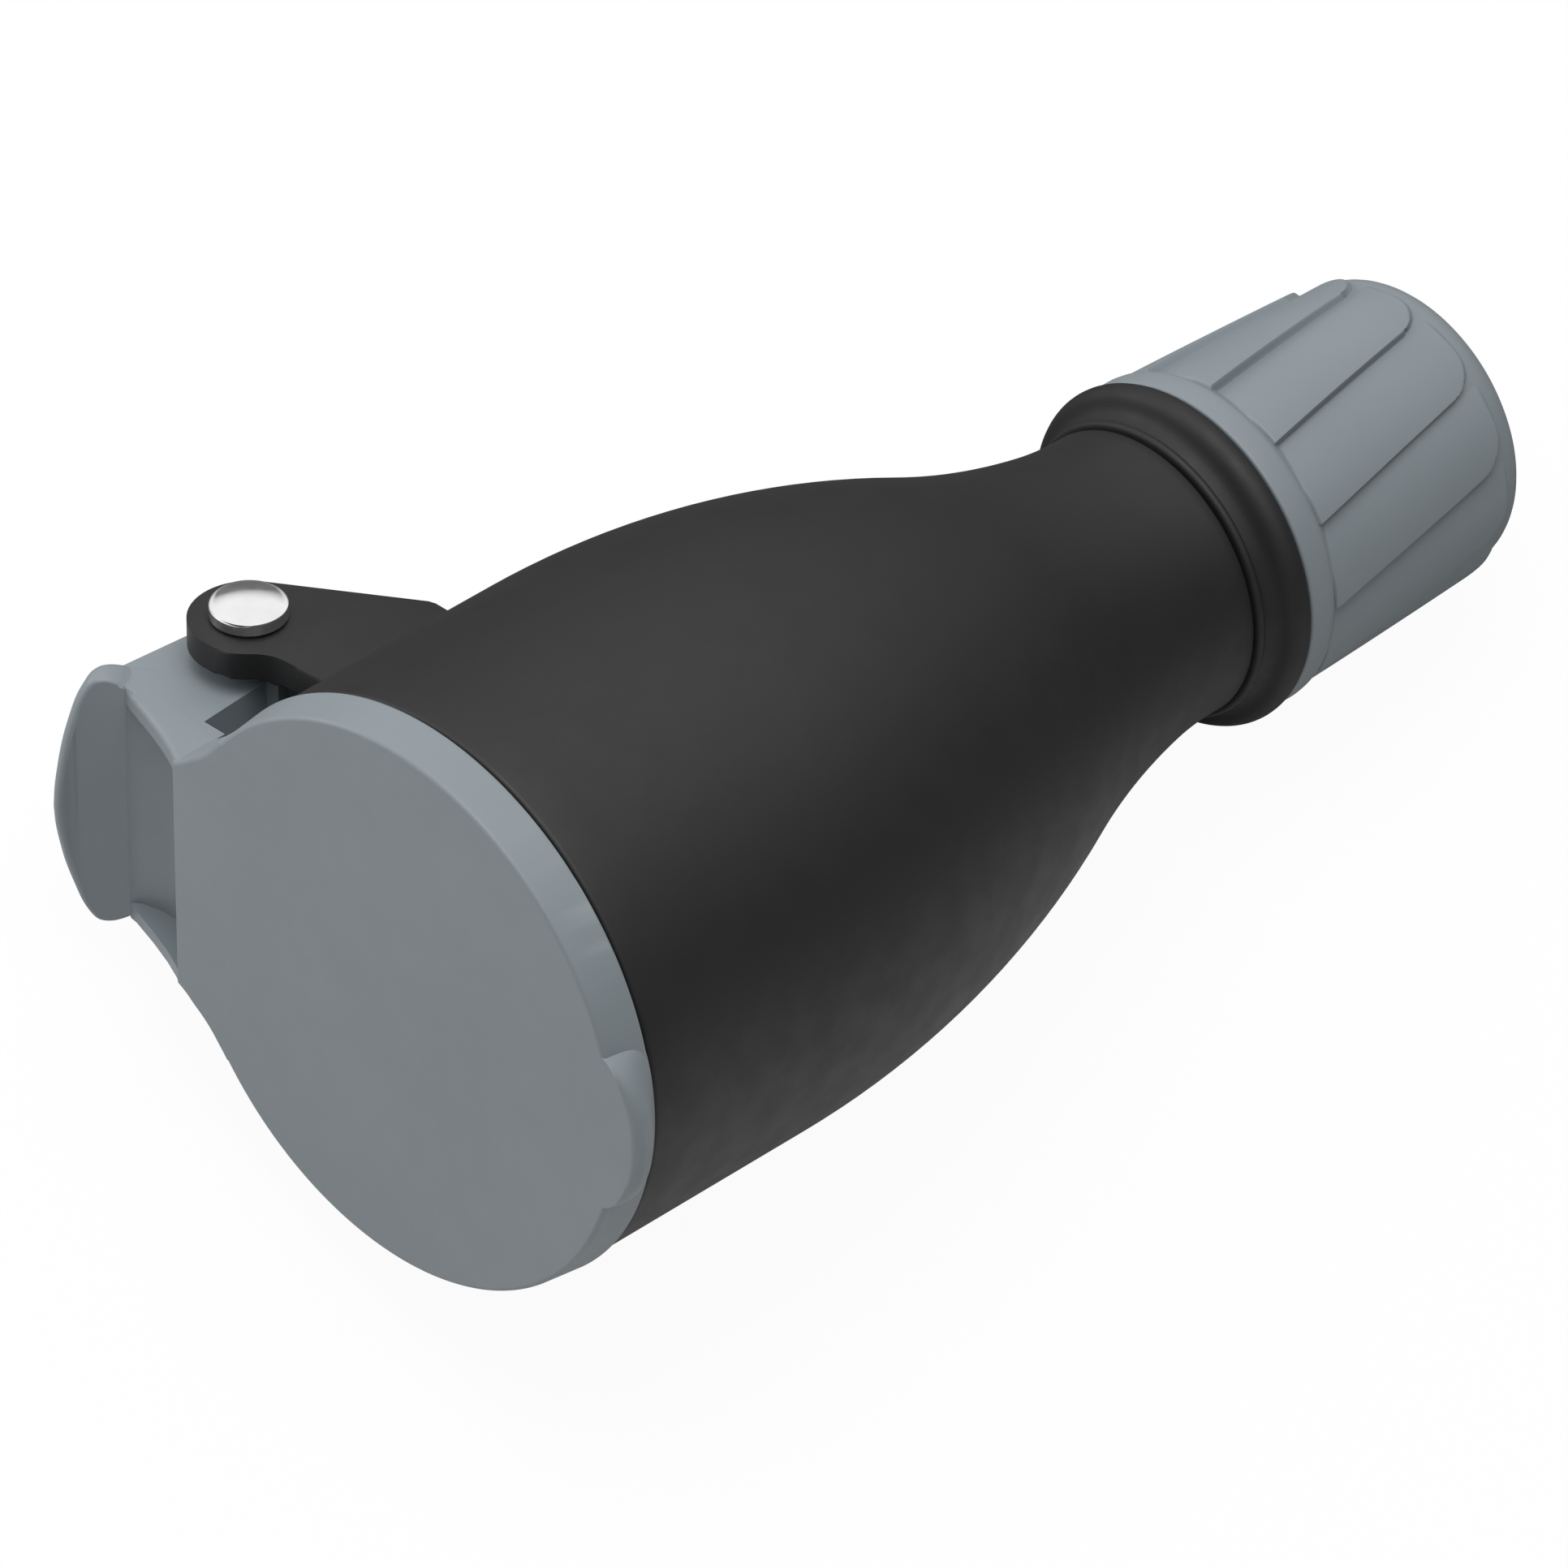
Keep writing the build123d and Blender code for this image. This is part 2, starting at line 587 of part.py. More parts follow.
def make_cord_seal():
    start = thread_end - seal_length
    return turned((cable_radius + 0.4, start), (seal_radius, start), (seal_radius, 118.6), (cable_radius + 0.6, 118.6),
                  (cable_radius, 117.4), (cable_radius, start + 1.2))


def make_thrust_washer():
    return turned((nut_bore + 0.3, 119.9), (cage_radius + 0.3, 119.9), (cage_radius + 0.3, 121.0), (nut_bore + 0.3, 121.0))


def nut_section(y):
    """The saw-tooth outline of the nut at one height."""
    ridge = ridge_radius - ridge_taper * (y - flute_measured)
    low = ridge - flute_step
    turn = flute_first - flute_twist * (y - flute_measured)
    pitch = 360 / flutes

    def at(radius, angle):
        return (radius * sin(radians(angle)), y, radius * cos(radians(angle)))

    edges = []
    for index in range(flutes):
        start = turn + index * pitch
        foot = at(low, start + flute_step_angle)
        crest = at(ridge, start + pitch)
        edges.append(Line(at(ridge, start), foot))
        middle = at(low + 0.66 * flute_step, start + flute_step_angle + 0.5 * (pitch - flute_step_angle))
        edges.append(ThreePointArc(foot, middle, crest))
    return make_face(Wire(edges))


def make_nut():
    # Plain body with its flange and rounded end
    low_start = ridge_radius - flute_step - 0.05
    outline = Polyline((nut_bore, nut_front), (nut_flange_radius - 0.3, nut_front),
                       (nut_flange_radius, nut_front + 0.3), (nut_flange_radius, nut_flange_end))
    outline += ThreePointArc((nut_flange_radius, nut_flange_end), (nut_flange_radius - 0.2, flute_start),
                             (low_start, flute_start + 1.1))
    outline += Line((low_start, flute_start + 1.1), (nut_tip_radius, nut_end - nut_end_round))
    outline += ThreePointArc((nut_tip_radius, nut_end - nut_end_round),
                             (nut_tip_radius - 0.29 * nut_end_round, nut_end - 0.29 * nut_end_round),
                             (nut_tip_radius - nut_end_round, nut_end))
    outline += Polyline((nut_tip_radius - nut_end_round, nut_end), (nut_bore + 0.8, nut_end),
                        (nut_bore, nut_end - 0.8), (nut_bore, nut_front))
    shape = revolve(make_face(outline), axis=Axis.Y)
    heights = (flute_start - 0.6, (flute_start + flute_end) / 2, flute_end)
    shape += loft([nut_section(y) for y in heights], ruled=True) - rod(nut_bore, 90, 130)
    # Rounded corners at the high end of each flute
    corner = flute_corner
    ridge = ridge_radius - ridge_taper * (flute_end - flute_measured)
    turn = flute_first - flute_twist * (flute_end - flute_measured)
    for index in range(flutes):
        cutter = block(-corner, 1.5, flute_end - corner, flute_end + 1, ridge - flute_step + 0.02, ridge + 3)
        cutter -= Pos(-corner, flute_end - corner, ridge) * (Cylinder(corner, 12))
        shape -= Rot(0, turn + index * 360 / flutes, 0) * cutter
    # Inside: counterbore for the ring, thread, cone for the fingers
    ring_room = thread_radius + 0.25 + 1.15 + thread_play
    bore = thread_radius + thread_play
    shape -= turned((0, nut_front - 1), (ring_room, nut_front - 1), (ring_room, collar_end + 3.0), (bore, collar_end + 3.6),
                    (bore, thread_end + 1.5), (cage_radius + 0.4, 119.6), (cage_radius + 0.4, 121.0), (0, 121.0))
    return shape


def natural_parts():
    parts = {
        "housing": make_housing(),
        "lid": make_lid(),
        "lid_seal": make_lid_seal(),
        "hinge_rivet": make_rivet(),
        "rivet_washer": make_rivet_washer(),
        "hinge_spring": make_spring(),
        "socket_insert": make_socket_insert(),
        "contact_carrier": make_carrier(),
        "live_contact_left": make_live_contact(1),
        "live_contact_right": make_live_contact(-1),
        "earth_bracket": make_earth_bracket(),
        "earth_terminal": make_earth_terminal(),
        "terminal_screws": make_terminal_screws(),
        "carrier_screws": make_carrier_screws(),
        "gland_body": make_gland_body(),
        "gland_o_ring": make_o_ring(),
        "clamp_cage": make_cage(),
        "cord_seal": make_cord_seal(),
        "thrust_washer": make_thrust_washer(),
        "gland_nut": make_nut(),
    }
    return parts


# Rest: the coupler leans back on its shoulder and the nut's flutes, and rolls towards the hinge
# until the lower ear or the rivet's closed end touches the floor
def lean_angle():
    """Angle of the floor against the long axis, touching shoulder and flutes."""
    flute_y = flute_end - flute_corner
    flute_x = ridge_radius - ridge_taper * (flute_y - flute_measured)
    across = flute_x - shoulder_x
    along = flute_y - barrel_end
    return degrees(atan2(along, across) - acos(shoulder_radius / hypot(across, along)))


def hinge_depth(roll, lean):
    """How far the hinge's lower end reaches below the body, along the floor's normal."""
    down = (-sin(radians(roll)) * cos(radians(lean)), sin(radians(lean)), -cos(radians(roll)) * cos(radians(lean)))
    floor = shoulder_radius + shoulder_x * cos(radians(lean)) + barrel_end * sin(radians(lean))
    low = -ear_top - washer_thickness
    out, up = dome_middle(rivet_head_radius - 0.8, rivet_tail)
    rings = ((ear_radius, -ear_top), (rivet_head_radius, low), (out, low - up), (0.0, low - rivet_tail))
    reach = max(down[0] * pin_x + down[1] * pin_y + down[2] * z + r * hypot(down[0], down[1]) for r, z in rings)
    return reach - floor


def roll_angle(lean):
    """Roll at which the hinge just touches the floor, found by halving."""
    high, low = 60.0, 0.0
    for step in range(40):
        middle = (high + low) / 2
        if hinge_depth(middle, lean) > 0:
            high = middle
        else:
            low = middle
    return (high + low) / 2


def placed_parts():
    """Every piece as it rests, with the origin under the middle of the whole box."""
    lean = lean_angle()
    turn = Rot(-lean, 0, 0) * Rot(0, -roll_angle(lean), 0)
    placed = {}
    for name, shape in natural_parts().items():
        pieces = shape if isinstance(shape, list) else [shape]
        placed[name] = Compound(children=[turn * solid for piece in pieces for solid in piece.solids()])
    box = Compound(children=[copy.copy(shape) for shape in placed.values()]).bounding_box()
    shift = Pos(-(box.min.X + box.max.X) / 2, -(box.min.Y + box.max.Y) / 2, -box.min.Z)
    return {name: shift * shape for name, shape in placed.items()}, shift * turn


if __name__ == "__main__":
    os.makedirs("parts", exist_ok=True)
    parts, place = placed_parts()
    for name, shape in parts.items():
        solids = shape.solids()
        export_step(solids[0] if len(solids) == 1 else Compound(children=list(solids)), f"parts/{name}.step")
        print(name, len(solids), round(sum(solid.volume for solid in solids), 1))
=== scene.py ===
import json
from math import cos, degrees, hypot, pi, radians, sin, sqrt, tan

import bmesh
import bpy
import numpy as np
from mathutils import Matrix, Vector

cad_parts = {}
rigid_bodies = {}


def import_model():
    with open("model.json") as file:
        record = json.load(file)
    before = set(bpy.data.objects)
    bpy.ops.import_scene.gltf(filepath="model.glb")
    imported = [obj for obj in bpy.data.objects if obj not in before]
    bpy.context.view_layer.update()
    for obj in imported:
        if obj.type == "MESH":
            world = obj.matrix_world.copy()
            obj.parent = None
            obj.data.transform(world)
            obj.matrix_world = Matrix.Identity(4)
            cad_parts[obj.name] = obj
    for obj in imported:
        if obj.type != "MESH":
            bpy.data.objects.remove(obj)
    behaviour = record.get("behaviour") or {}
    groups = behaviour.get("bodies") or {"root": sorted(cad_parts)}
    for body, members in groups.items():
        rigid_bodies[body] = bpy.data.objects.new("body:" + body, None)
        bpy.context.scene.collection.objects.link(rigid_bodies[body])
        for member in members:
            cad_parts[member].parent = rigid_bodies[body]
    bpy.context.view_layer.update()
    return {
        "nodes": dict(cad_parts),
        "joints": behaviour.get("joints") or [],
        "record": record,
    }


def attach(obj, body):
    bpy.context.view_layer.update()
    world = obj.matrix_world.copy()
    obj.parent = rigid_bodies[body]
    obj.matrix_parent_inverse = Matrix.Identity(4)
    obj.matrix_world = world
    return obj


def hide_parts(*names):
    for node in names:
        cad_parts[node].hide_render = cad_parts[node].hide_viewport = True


for spare in list(bpy.data.objects):
    bpy.data.objects.remove(spare)
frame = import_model()
nodes = frame["nodes"]
joints = {joint["name"]: joint for joint in frame["joints"]}
scene = bpy.context.scene
MM = 0.001

# Lying frame
# Every piece is modelled like the part's source: long axis +Y from the lid's face, rivet along +Z, in mm.
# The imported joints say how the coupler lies, so lay takes that upright frame to where it rests.
nut_end = 126.3
along = Vector(joints["nut_turn"]["axis"]).normalized()
up = -Vector(joints["lid_hinge"]["axis"]).normalized()
across = along.cross(up)
face_centre = Vector(joints["nut_turn"]["pos_m"]) - along * nut_end * MM
lay = Matrix.Translation(face_centre) @ Matrix((across, along, up)).transposed().to_4x4()


# Meshes
# Points are in mm in the upright frame. finish_piece turns them into metres in the part's own frame.
def baked(obj):
    """The object's mesh with its modifiers applied."""
    graph = bpy.context.evaluated_depsgraph_get()
    return bpy.data.meshes.new_from_object(obj.evaluated_get(graph))


def finish_piece(name, bm, body, slot, replaces, sharp=32.0, flat=False):
    """A piece that rides a body and stands for CAD nodes; flat shades its broad faces evenly."""
    bmesh.ops.recalc_face_normals(bm, faces=bm.faces)
    bmesh.ops.transform(bm, matrix=lay @ Matrix.Scale(MM, 4), verts=bm.verts)
    mesh = bpy.data.meshes.new(name)
    bm.to_mesh(mesh)
    bm.free()
    obj = bpy.data.objects.new(name, mesh)
    scene.collection.objects.link(obj)
    mesh.shade_smooth()
    mesh.set_sharp_from_angle(angle=radians(sharp))
    mesh.materials.append(looks[slot])
    if flat:
        weigh = obj.modifiers.new("weigh", "WEIGHTED_NORMAL")
        weigh.keep_sharp = True
        obj.data = baked(obj)
        obj.modifiers.clear()
    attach(obj, body)
    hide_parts(*replaces)


def ring_point(radius, along_y, angle):
    """A point at radius and y, at an angle from +Z towards +X."""
    return (radius * sin(angle), along_y, radius * cos(angle))


def skin(bm, rows, close_rows=False):
    """Quads between rows of points; every row is a closed loop."""
    made = [[bm.verts.new(point) for point in row] for row in rows]
    pairs = list(zip(made, made[1:]))
    if close_rows:
        pairs.append((made[-1], made[0]))
    for low, high in pairs:
        for index in range(len(low)):
            after = (index + 1) % len(low)
            bm.faces.new((low[index], low[after], high[after], high[index]))
    return made


def closed_skin(bm, rows):
    """A skin whose first and last row are filled."""
    made = skin(bm, rows)
    bm.faces.new(made[0])
    bm.faces.new(made[-1])


def turned(profile, segments):
    """Rows of points: (radius, y) points turned about the long axis."""
    angles = [2 * pi * index / segments for index in range(segments)]
    return [[ring_point(radius, y, angle) for angle in angles] for radius, y in profile]


def arc(centre, radius, start, end, count):
    """Points of an arc in a plane, both ends included."""
    return [(centre[0] + radius * cos(radians(start + (end - start) * step / count)),
             centre[1] + radius * sin(radians(start + (end - start) * step / count)))
            for step in range(count + 1)]


def smooth_curve(control, count):
    """Points on a curve through the control points, one smooth piece between each pair."""
    points = np.array(control, float)
    before = np.vstack([2 * points[0] - points[1], points, 2 * points[-1] - points[-2]])
    spans = len(points) - 1
    result = []
    for step in range(count + 1):
        place = min(step * spans / count, spans - 1e-9)
        index = int(place)
        t = place - index
        p0, p1, p2, p3 = before[index:index + 4]
        value = 0.5 * (2 * p1 + (p2 - p0) * t + (2 * p0 - 5 * p1 + 4 * p2 - p3) * t ** 2
                       + (3 * p1 - p0 - 3 * p2 + p3) * t ** 3)
        result.append((float(value[0]), float(value[1])))
    return result


def solid_outline(bm, outline, low, high, soft=0.0):
    """A prism over an outline in X and Y, from z low to z high, with its end edges rounded by soft."""
    bottom = [bm.verts.new((x, y, low)) for x, y in outline]
    top = [bm.verts.new((x, y, high)) for x, y in outline]
    ends = [bm.faces.new(bottom[::-1]), bm.faces.new(top)]
    for index in range(len(outline)):
        after = (index + 1) % len(outline)
        bm.faces.new((bottom[index], bottom[after], top[after], top[index]))
    if soft:
        edges = list({edge for face in ends for edge in face.edges})
        bmesh.ops.bevel(bm, geom=edges, offset=soft, segments=2, profile=0.5, affect="EDGES",
                        clamp_overlap=True)


# Solids
# The lid's forms are helper objects that are joined and cut, and each is used up in the one it changes.
def loose(bm):
    """A helper object that holds a solid for joining or cutting."""
    bmesh.ops.recalc_face_normals(bm, faces=bm.faces)
    mesh = bpy.data.meshes.new("tool")
    bm.to_mesh(mesh)
    bm.free()
    obj = bpy.data.objects.new("tool", mesh)
    scene.collection.objects.link(obj)
    return obj


def combine(base, tool, operation):
    """Joins or cuts base with a tool, and leaves the result in base."""
    change = base.modifiers.new("change", "BOOLEAN")
    change.operation = operation
    change.solver = "EXACT"
    change.object = tool
    result = baked(base)
    base.modifiers.clear()
    base.data = result
    bpy.data.objects.remove(tool)


def round_solid(radius, low, high, segments, axis, at=(0, 0)):
    """A cylinder about Y or Z; at is its place across that axis."""
    bm = bmesh.new()
    bmesh.ops.create_cone(bm, cap_ends=True, segments=segments, radius1=radius, radius2=radius,
                          depth=high - low)
    middle = (low + high) / 2
    place = (at[0], at[1], middle)
    if axis == "Y":
        bmesh.ops.rotate(bm, verts=bm.verts, matrix=Matrix.Rotation(pi / 2, 3, "X"))
        place = (at[0], middle, at[1])
    bmesh.ops.translate(bm, verts=bm.verts, vec=place)
    return loose(bm)


def prism(outline, low, high):
    bm = bmesh.new()
    solid_outline(bm, outline, low, high)
    return loose(bm)


def closed_rows(rows):
    """A solid from loops of points, with its two ends closed."""
    bm = bmesh.new()
    closed_skin(bm, rows)
    return loose(bm)


# Shader maths
# Sock wraps a socket, so that a material reads as plain arithmetic. Every operator adds one node.
class Sock:
    def __init__(self, tree, socket):
        self.tree = tree
        self.socket = socket

    def math(self, operation, *others):
        node = self.tree.nodes.new("ShaderNodeMath")
        node.operation = operation
        for index, value in enumerate((self,) + others):
            if isinstance(value, Sock):
                self.tree.links.new(value.socket, node.inputs[index])
            else:
                node.inputs[index].default_value = value
        return Sock(self.tree, node.outputs[0])

    def __add__(self, other):
        return self.math("ADD", other)

    def __mul__(self, other):
        return self.math("MULTIPLY", other)

    def smooth(self, low, high, start=0.0, end=1.0):
        """Eases from start to end while the value goes from low to high."""
        node = self.tree.nodes.new("ShaderNodeMapRange")
        node.interpolation_type = "SMOOTHSTEP"
        self.tree.links.new(self.socket, node.inputs["Value"])
        for name, value in (("From Min", low), ("From Max", high), ("To Min", start), ("To Max", end)):
            node.inputs[name].default_value = value
        return Sock(self.tree, node.outputs["Result"])

    def blend(self, first, second):
        """A colour between two colours, by this value."""
        node = self.tree.nodes.new("ShaderNodeMix")
        node.data_type = "RGBA"
        self.tree.links.new(self.socket, node.inputs["Factor"])
        for index, value in ((6, first), (7, second)):
            if isinstance(value, Sock):
                self.tree.links.new(value.socket, node.inputs[index])
            else:
                node.inputs[index].default_value = (*value, 1.0)
        return Sock(self.tree, node.outputs[2])


class Surface:
    """A principled material with object coordinates at hand."""

    def __init__(self, name):
        self.material = bpy.data.materials.new(name)
        self.material.use_nodes = True
        self.tree = self.material.node_tree
        self.shader = self.tree.nodes["Principled BSDF"]
        coords = self.tree.nodes.new("ShaderNodeTexCoord")
        self.place = coords.outputs["Object"]

    def noise(self, scale, detail=3.0):
        node = self.tree.nodes.new("ShaderNodeTexNoise")
        self.tree.links.new(self.place, node.inputs["Vector"])
        node.inputs["Scale"].default_value = scale
        node.inputs["Detail"].default_value = detail
        return Sock(self.tree, node.outputs["Fac"])

    def put(self, name, value):
        if isinstance(value, Sock):
            self.tree.links.new(value.socket, self.shader.inputs[name])
        else:
            self.shader.inputs[name].default_value = value

    def bump(self, height, distance, strength):
        node = self.tree.nodes.new("ShaderNodeBump")
        self.tree.links.new(height.socket, node.inputs["Height"])
        node.inputs["Distance"].default_value = distance
        node.inputs["Strength"].default_value = strength
        self.tree.links.new(node.outputs["Normal"], self.shader.inputs["Normal"])


# Materials
# Rubber and plastic differ by colour, gloss and a fine grain; metals vary a little in colour and gloss.
# Noise scales are per metre: 60 is a soft cloud of some 17 mm, and 2500 a grain of 0.4 mm.
cloud_scale = 60.0
gloss_scale = 300.0
grain_scale = 2500.0
grain_depth = 0.00002
grain_strength = 0.5
tarnish_scale = 400.0
polish_scale = 900.0
noise_low = 0.3
noise_high = 0.7


def moulded(name, colour, rough, shift=0.06):
    surface = Surface(name)
    cloud = surface.noise(cloud_scale)
    darker = tuple(channel * (1 - shift) for channel in colour)
    lighter = tuple(channel * (1 + shift) for channel in colour)
    surface.put("Base Color", cloud.smooth(noise_low, noise_high).blend(darker, lighter))
    gloss = surface.noise(gloss_scale)
    surface.put("Roughness", gloss.smooth(noise_low, noise_high, rough - 0.03, rough + 0.03))
    surface.bump(surface.noise(grain_scale, 2.0), grain_depth, grain_strength)
    return surface.material


def metal(name, colour, rough):
    surface = Surface(name)
    darker = tuple(channel * 0.93 for channel in colour)
    tarnish = surface.noise(tarnish_scale)
    surface.put("Base Color", tarnish.smooth(noise_low, noise_high).blend(darker, colour))
    surface.put("Metallic", 1.0)
    polish = surface.noise(polish_scale)
    surface.put("Roughness", polish.smooth(noise_low, noise_high, rough * 0.85, rough * 1.15))
    return surface.material


looks = {
    "black_rubber": moulded("black_rubber_look", (0.007, 0.007, 0.0073), 0.58),
    "grey_plastic": moulded("grey_plastic_look", (0.19, 0.219, 0.237), 0.5, shift=0.02),
    "black_plastic": moulded("black_plastic_look", (0.006, 0.006, 0.0063), 0.62),
    "seal_rubber": moulded("seal_rubber_look", (0.02, 0.02, 0.02), 0.6),
    "insert_plastic": moulded("insert_plastic_look", (0.03, 0.03, 0.031), 0.38),
    "carrier_plastic": moulded("carrier_plastic_look", (0.06, 0.06, 0.06), 0.45),
    "cage_plastic": moulded("cage_plastic_look", (0.3, 0.3, 0.29), 0.4),
    "polished_steel": metal("polished_steel_look", (0.98, 0.98, 0.98), 0.16),
    "spring_steel": metal("spring_steel_look", (0.6, 0.6, 0.61), 0.3),
    "screw_steel": metal("screw_steel_look", (0.62, 0.62, 0.63), 0.28),
    "brass": metal("brass_look", (0.78, 0.58, 0.28), 0.27),
}
for part in frame["record"]["subparts"]:
    mesh = nodes[part["node"]].data
    mesh.materials.clear()
    mesh.materials.append(looks[part["material_slot"]])


# Housing
# The rubber sleeve is turned from the same arcs as its source: barrel, shoulder, flare and neck.
# Inside it has a mouth for the socket, a step for the carrier, the wiring chamber and the gland's seat.
barrel_radius = 27.1
housing_front = 4.71
barrel_end = 30.0
shoulder_radius = 98.0
shoulder_angle = 23.5
flare_radius = 68.8
flare_angle = 10.0
blend_radius = 33.5
neck_end = 91.6
shoulder_x = barrel_radius - shoulder_radius
flare_x = shoulder_x + (shoulder_radius + flare_radius) * cos(radians(shoulder_angle))
flare_y = barrel_end + (shoulder_radius + flare_radius) * sin(radians(shoulder_angle))
blend_x = flare_x - (flare_radius - blend_radius) * cos(radians(flare_angle))
blend_y = flare_y - (flare_radius - blend_radius) * sin(radians(flare_angle))
neck_radius = blend_x - blend_radius

rubber_wall = 3.0
front_round = 0.5
mouth_bore = 24.0
mouth_land = 25.5
mouth_end = 26.0
carrier_bore = 22.5
carrier_end = 44.0
chamber_mouth = 20.5
chamber_foot = 12.7
chamber_end = 78.0
gland_seat = 10.8
inner_flare_angle = 14.9
inner_shoulder_angle = 15.9
turned_segments = 192


def housing_profile():
    """(radius, y) points: back along the skin to the neck, then forward through the bores."""
    points = [(mouth_bore, 6.0), (mouth_bore, housing_front), (mouth_land, housing_front)]
    points += arc((barrel_radius - front_round, housing_front + front_round), front_round, -90, 0, 4)
    length = barrel_end - housing_front
    points += [(barrel_radius, housing_front + length * step / 6) for step in range(1, 6)]
    points += arc((shoulder_x, barrel_end), shoulder_radius, 0, shoulder_angle, 20)
    points += arc((flare_x, flare_y), flare_radius, 180 + shoulder_angle, 180 + flare_angle, 12)[1:]
    points += arc((blend_x, blend_y), blend_radius, 180 + flare_angle, 180, 8)[1:]
    points += [(neck_radius, neck_end - 0.35), (neck_radius - 0.1, neck_end - 0.1),
               (neck_radius - 0.35, neck_end)]
    points += [(gland_seat, neck_end), (gland_seat, chamber_end), (chamber_foot, chamber_end)]
    points += arc((flare_x, flare_y), flare_radius + rubber_wall, 180 + inner_flare_angle,
                  180 + shoulder_angle, 6)
    points += arc((shoulder_x, barrel_end), shoulder_radius - rubber_wall, shoulder_angle,
                  inner_shoulder_angle, 6)[1:]
    points += [(chamber_mouth, carrier_end), (carrier_bore, carrier_end), (carrier_bore, mouth_end),
               (mouth_bore, mouth_end)]
    return points


# Ears
# Two flat ears carry the rivet, each with a rounded end, and a web joins each to the sleeve.
pin = (-32.8, 14.6)
ear_top = 17.0
ear_low = 14.3
ear_radius = 5.4
ear_slope = radians(34.4)
ear_corner_x = -23.7
ear_inner_x = -19.6
ear_front_y = 12.3
ear_rear_y = 27.6
ear_round = 0.35
ear_hollow = [(pin[0], pin[1] - ear_radius), (-30.6, 9.35), (-29.1, 10.35), (-27.9, 11.45), (-26.5, 12.1),
              (-24.4, ear_front_y)]
web_section = [(-26.4, 14.6), (-20.0, 14.6), (-20.0, 9.0), (-24.9, 10.4)]
web_front_y = 12.8
web_rear_y = 26.8


def ear_outline():
    """The ear seen from above: round end, hollow front edge, straight sloping rear edge."""
    touch = (pin[0] - ear_radius * sin(ear_slope), pin[1] + ear_radius * cos(ear_slope))
    corner = (ear_corner_x, touch[1] + (ear_corner_x - touch[0]) * tan(ear_slope))
    points = arc(pin, ear_radius, 90 + degrees(ear_slope), 270, 22)
    points += smooth_curve(ear_hollow, 18)[1:]
    points += [(ear_inner_x, ear_front_y), (ear_inner_x, ear_rear_y), (-23.0, ear_rear_y), corner]
    return points


def build_housing():
    bm = bmesh.new()
    skin(bm, turned(housing_profile(), turned_segments), close_rows=True)
    outline = ear_outline()
    solid_outline(bm, outline, ear_low, ear_top, soft=ear_round)
    solid_outline(bm, outline, -ear_top, -ear_low, soft=ear_round)
    for side in (1, -1):
        closed_skin(bm, [[(x, y, side * z) for x, z in web_section] for y in (web_front_y, web_rear_y)])
    finish_piece("housing_skin", bm, "housing", "black_rubber", ["housing"])


# Lid
# One plastic moulding: disc with a rim, opening nose, web, and a hinge block with thumb pocket and paddle.
# The forms are joined and cut as solids, and the edges left are rounded.
lid_face = 27.0
lid_rim = 27.43
lid_depth = 4.41
lid_plate = 2.2
lid_wall = 2.0
lid_edge = 0.45
lip = 0.6
lip_count = 8
block_half = 12.3
block_outer = -39.3
block_inner = -26.4
block_root = -24.5
pocket_half = 10.65
pocket_front = -27.25
pocket_depth = 5.4
valley = (-37.0, 4.8)
boss = 3.0
knuckle = 5.3
rivet_bore = 1.66
web_root = (-19.2, 17.6)
web_flank = [(-21.3, 16.95), (-22.25, 15.85), (-23.25, 14.75), (-24.25, 13.9), (-25.25, 13.2),
             (-26.26, 12.45), (pocket_front, block_half - 0.4)]


def lip_steps(radius, count):
    """Pairs of inset and depth round a quarter circle, from the front to the side."""
    return [(radius * (1 - sin(pi / 2 * step / count)), radius * (1 - cos(pi / 2 * step / count)))
            for step in range(count + 1)]


def lid_disc():
    """The face with its rounded edge, and the rim behind it."""
    profile = [(lid_face - lid_edge + lid_edge * sin(radians(turn)), lid_edge - lid_edge * cos(radians(turn)))
               for turn in range(0, 91, 15)]
    profile += [(lid_rim - 0.02, lid_depth - 0.3), (lid_rim - 0.1, lid_depth - 0.1),
                (lid_rim - 0.3, lid_depth), (lid_rim - lid_wall, lid_depth), (lid_rim - lid_wall, lid_plate)]
    return closed_rows(turned(profile, turned_segments))


def lid_web():
    """The flat web from the disc to the pocket, with hollow flanks and a rounded front edge."""
    flank = smooth_curve(web_flank, 20)
    rows = []
    for inset, y in lip_steps(lip, lip_count) + [(0.0, lid_depth)]:
        upper = [(web_root[0], web_root[1] - inset)]
        for index, (x, z) in enumerate(flank):
            before, after = flank[max(index - 1, 0)], flank[min(index + 1, len(flank) - 1)]
            run = hypot(after[0] - before[0], after[1] - before[1])
            outward = ((before[1] - after[1]) / run, (after[0] - before[0]) / run)
            sign = 1 if outward[1] > 0 else -1
            upper.append((x - sign * outward[0] * inset, z - sign * outward[1] * inset))
        outline = upper + [(x, -z) for x, z in upper[::-1]]
        rows.append([(x, y, z) for x, z in outline])
    return closed_rows(rows)


# Nose
# Its side gives the reach at each depth, and the reach swells from both ends to the middle.
nose_root = lid_face - 1.5
nose_half = 7.9
nose_swell = 1.25
nose_steps = 32
nose_side = [(0.0, 29.0), (0.12, 29.3), (0.35, 29.65), (0.8, 29.95), (1.5, 29.95), (2.4, 29.3), (3.4, 28.35),
             (lid_depth, lid_rim + 0.01)]


def lid_nose():
    """The nose that a finger lifts, widest near the face."""
    angles = [pi * index / nose_steps for index in range(nose_steps + 1)]
    rows = []
    for y, reach in nose_side:
        swell = reach - nose_root
        rows.append([(nose_root + swell * sin(angle) ** nose_swell, y, nose_half * cos(angle))
                     for angle in angles])
    return closed_rows(rows)


